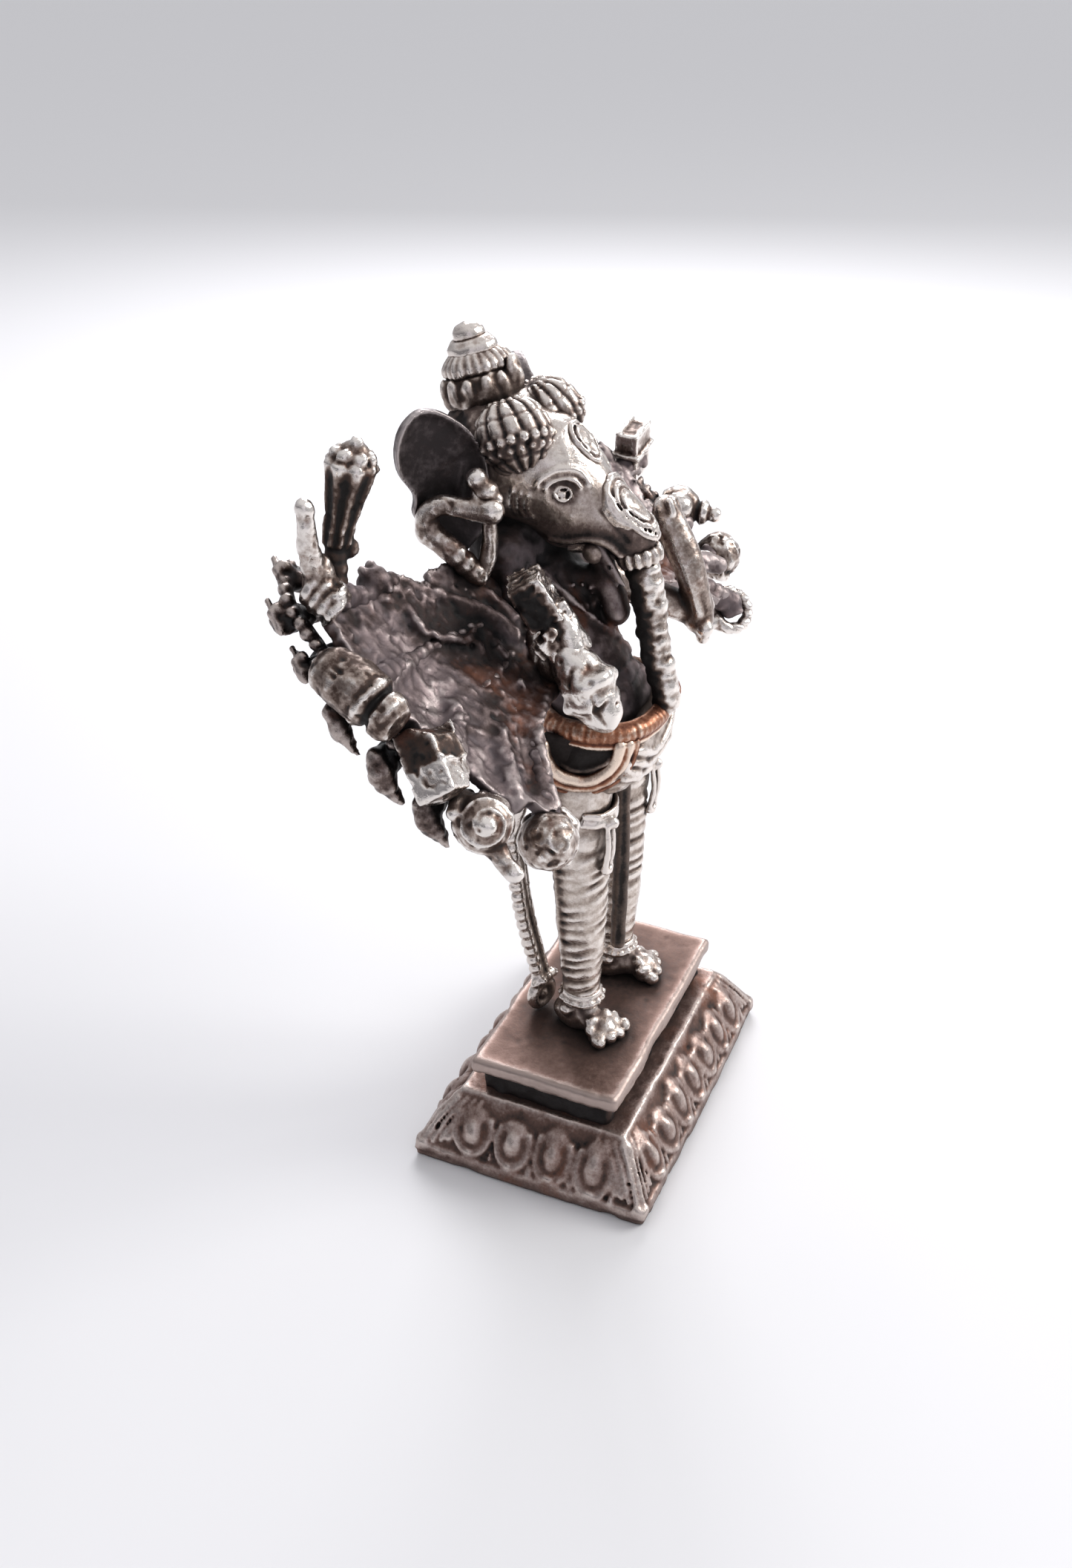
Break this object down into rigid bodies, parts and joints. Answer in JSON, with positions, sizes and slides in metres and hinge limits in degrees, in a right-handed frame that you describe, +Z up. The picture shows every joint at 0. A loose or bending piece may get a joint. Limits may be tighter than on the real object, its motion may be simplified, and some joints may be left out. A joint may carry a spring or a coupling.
{
  "type": "brass figurine",
  "caption": "Small cast standing figure with an elephant head, tiered crown and a leaning fan of many arms holding objects, on a stepped lotus plinth.",
  "frame": {"origin": "centre of the plinth's flat underside", "axes": "+Z up from the plinth to the crown, -Y the way the figure faces, +X towards the figure's own left"},
  "size_m": [0.0876, 0.0441, 0.1096],
  "materials": {
    "plinth_patina": "cast, dark brown patina rubbed bright on the edges",
    "cloth_bronze": "cast, grey-gold with brown in the grooves",
    "worn_bronze": "cast, handled to a pale champagne shine on the high places",
    "brazed_copper_tone": "cast, copper-red where the brazed joint has coloured",
    "dark_patina": "cast, rough, near-black to lilac-grey, unpolished",
    "hand_bronze": "cast, pitted, bright on the high places"
  },
  "bodies": {
    "root": {"plinth_base": "plinth_patina", "plinth_recess": "plinth_patina", "plinth_slab": "plinth_patina", "foot_right": "worn_bronze", "foot_left": "worn_bronze", "leg_right": "cloth_bronze", "leg_left": "cloth_bronze", "anklet_right": "worn_bronze", "anklet_left": "worn_bronze", "hip_cloth": "cloth_bronze", "waist_belt": "brazed_copper_tone", "sash_loop_right": "brazed_copper_tone", "sash_loop_left": "brazed_copper_tone", "thigh_tie_right": "cloth_bronze", "thigh_tie_left": "cloth_bronze", "front_pleat": "cloth_bronze", "side_sash_right": "cloth_bronze", "side_sash_left": "cloth_bronze", "torso": "dark_patina", "fan_plate_right": "dark_patina", "fan_plate_left": "dark_patina", "arms_right": "dark_patina", "arms_left": "dark_patina", "fruit_right": "hand_bronze", "sweet_right": "hand_bronze", "axe_head_right": "hand_bronze", "conch_right": "hand_bronze", "pointing_hand_right": "hand_bronze", "mace_right": "hand_bronze", "rear_hands_right": "dark_patina", "noose_left": "hand_bronze", "fruit_left": "hand_bronze", "pot_left": "hand_bronze", "book_left": "hand_bronze", "open_hand_left": "hand_bronze", "bud_left": "hand_bronze", "rear_hands_left": "dark_patina", "principal_arm_right": "hand_bronze", "principal_axe_right": "hand_bronze", "principal_arm_left": "hand_bronze", "raised_arm_right": "hand_bronze", "raised_arm_left": "hand_bronze", "raised_stem_right": "hand_bronze", "raised_stem_left": "hand_bronze", "head": "worn_bronze", "ear_right": "dark_patina", "ear_left": "dark_patina", "trunk": "worn_bronze", "trunk_band": "worn_bronze", "tusk": "dark_patina", "mouth_sweet": "worn_bronze", "cap_right": "worn_bronze", "cap_left": "worn_bronze", "forehead_jewel": "worn_bronze", "trunk_jewel": "worn_bronze", "crown_leaf_tier": "worn_bronze", "crown_ribbed_tier": "worn_bronze", "crown_ring": "worn_bronze", "crown_finial": "worn_bronze"}
  },
  "joints": []
}
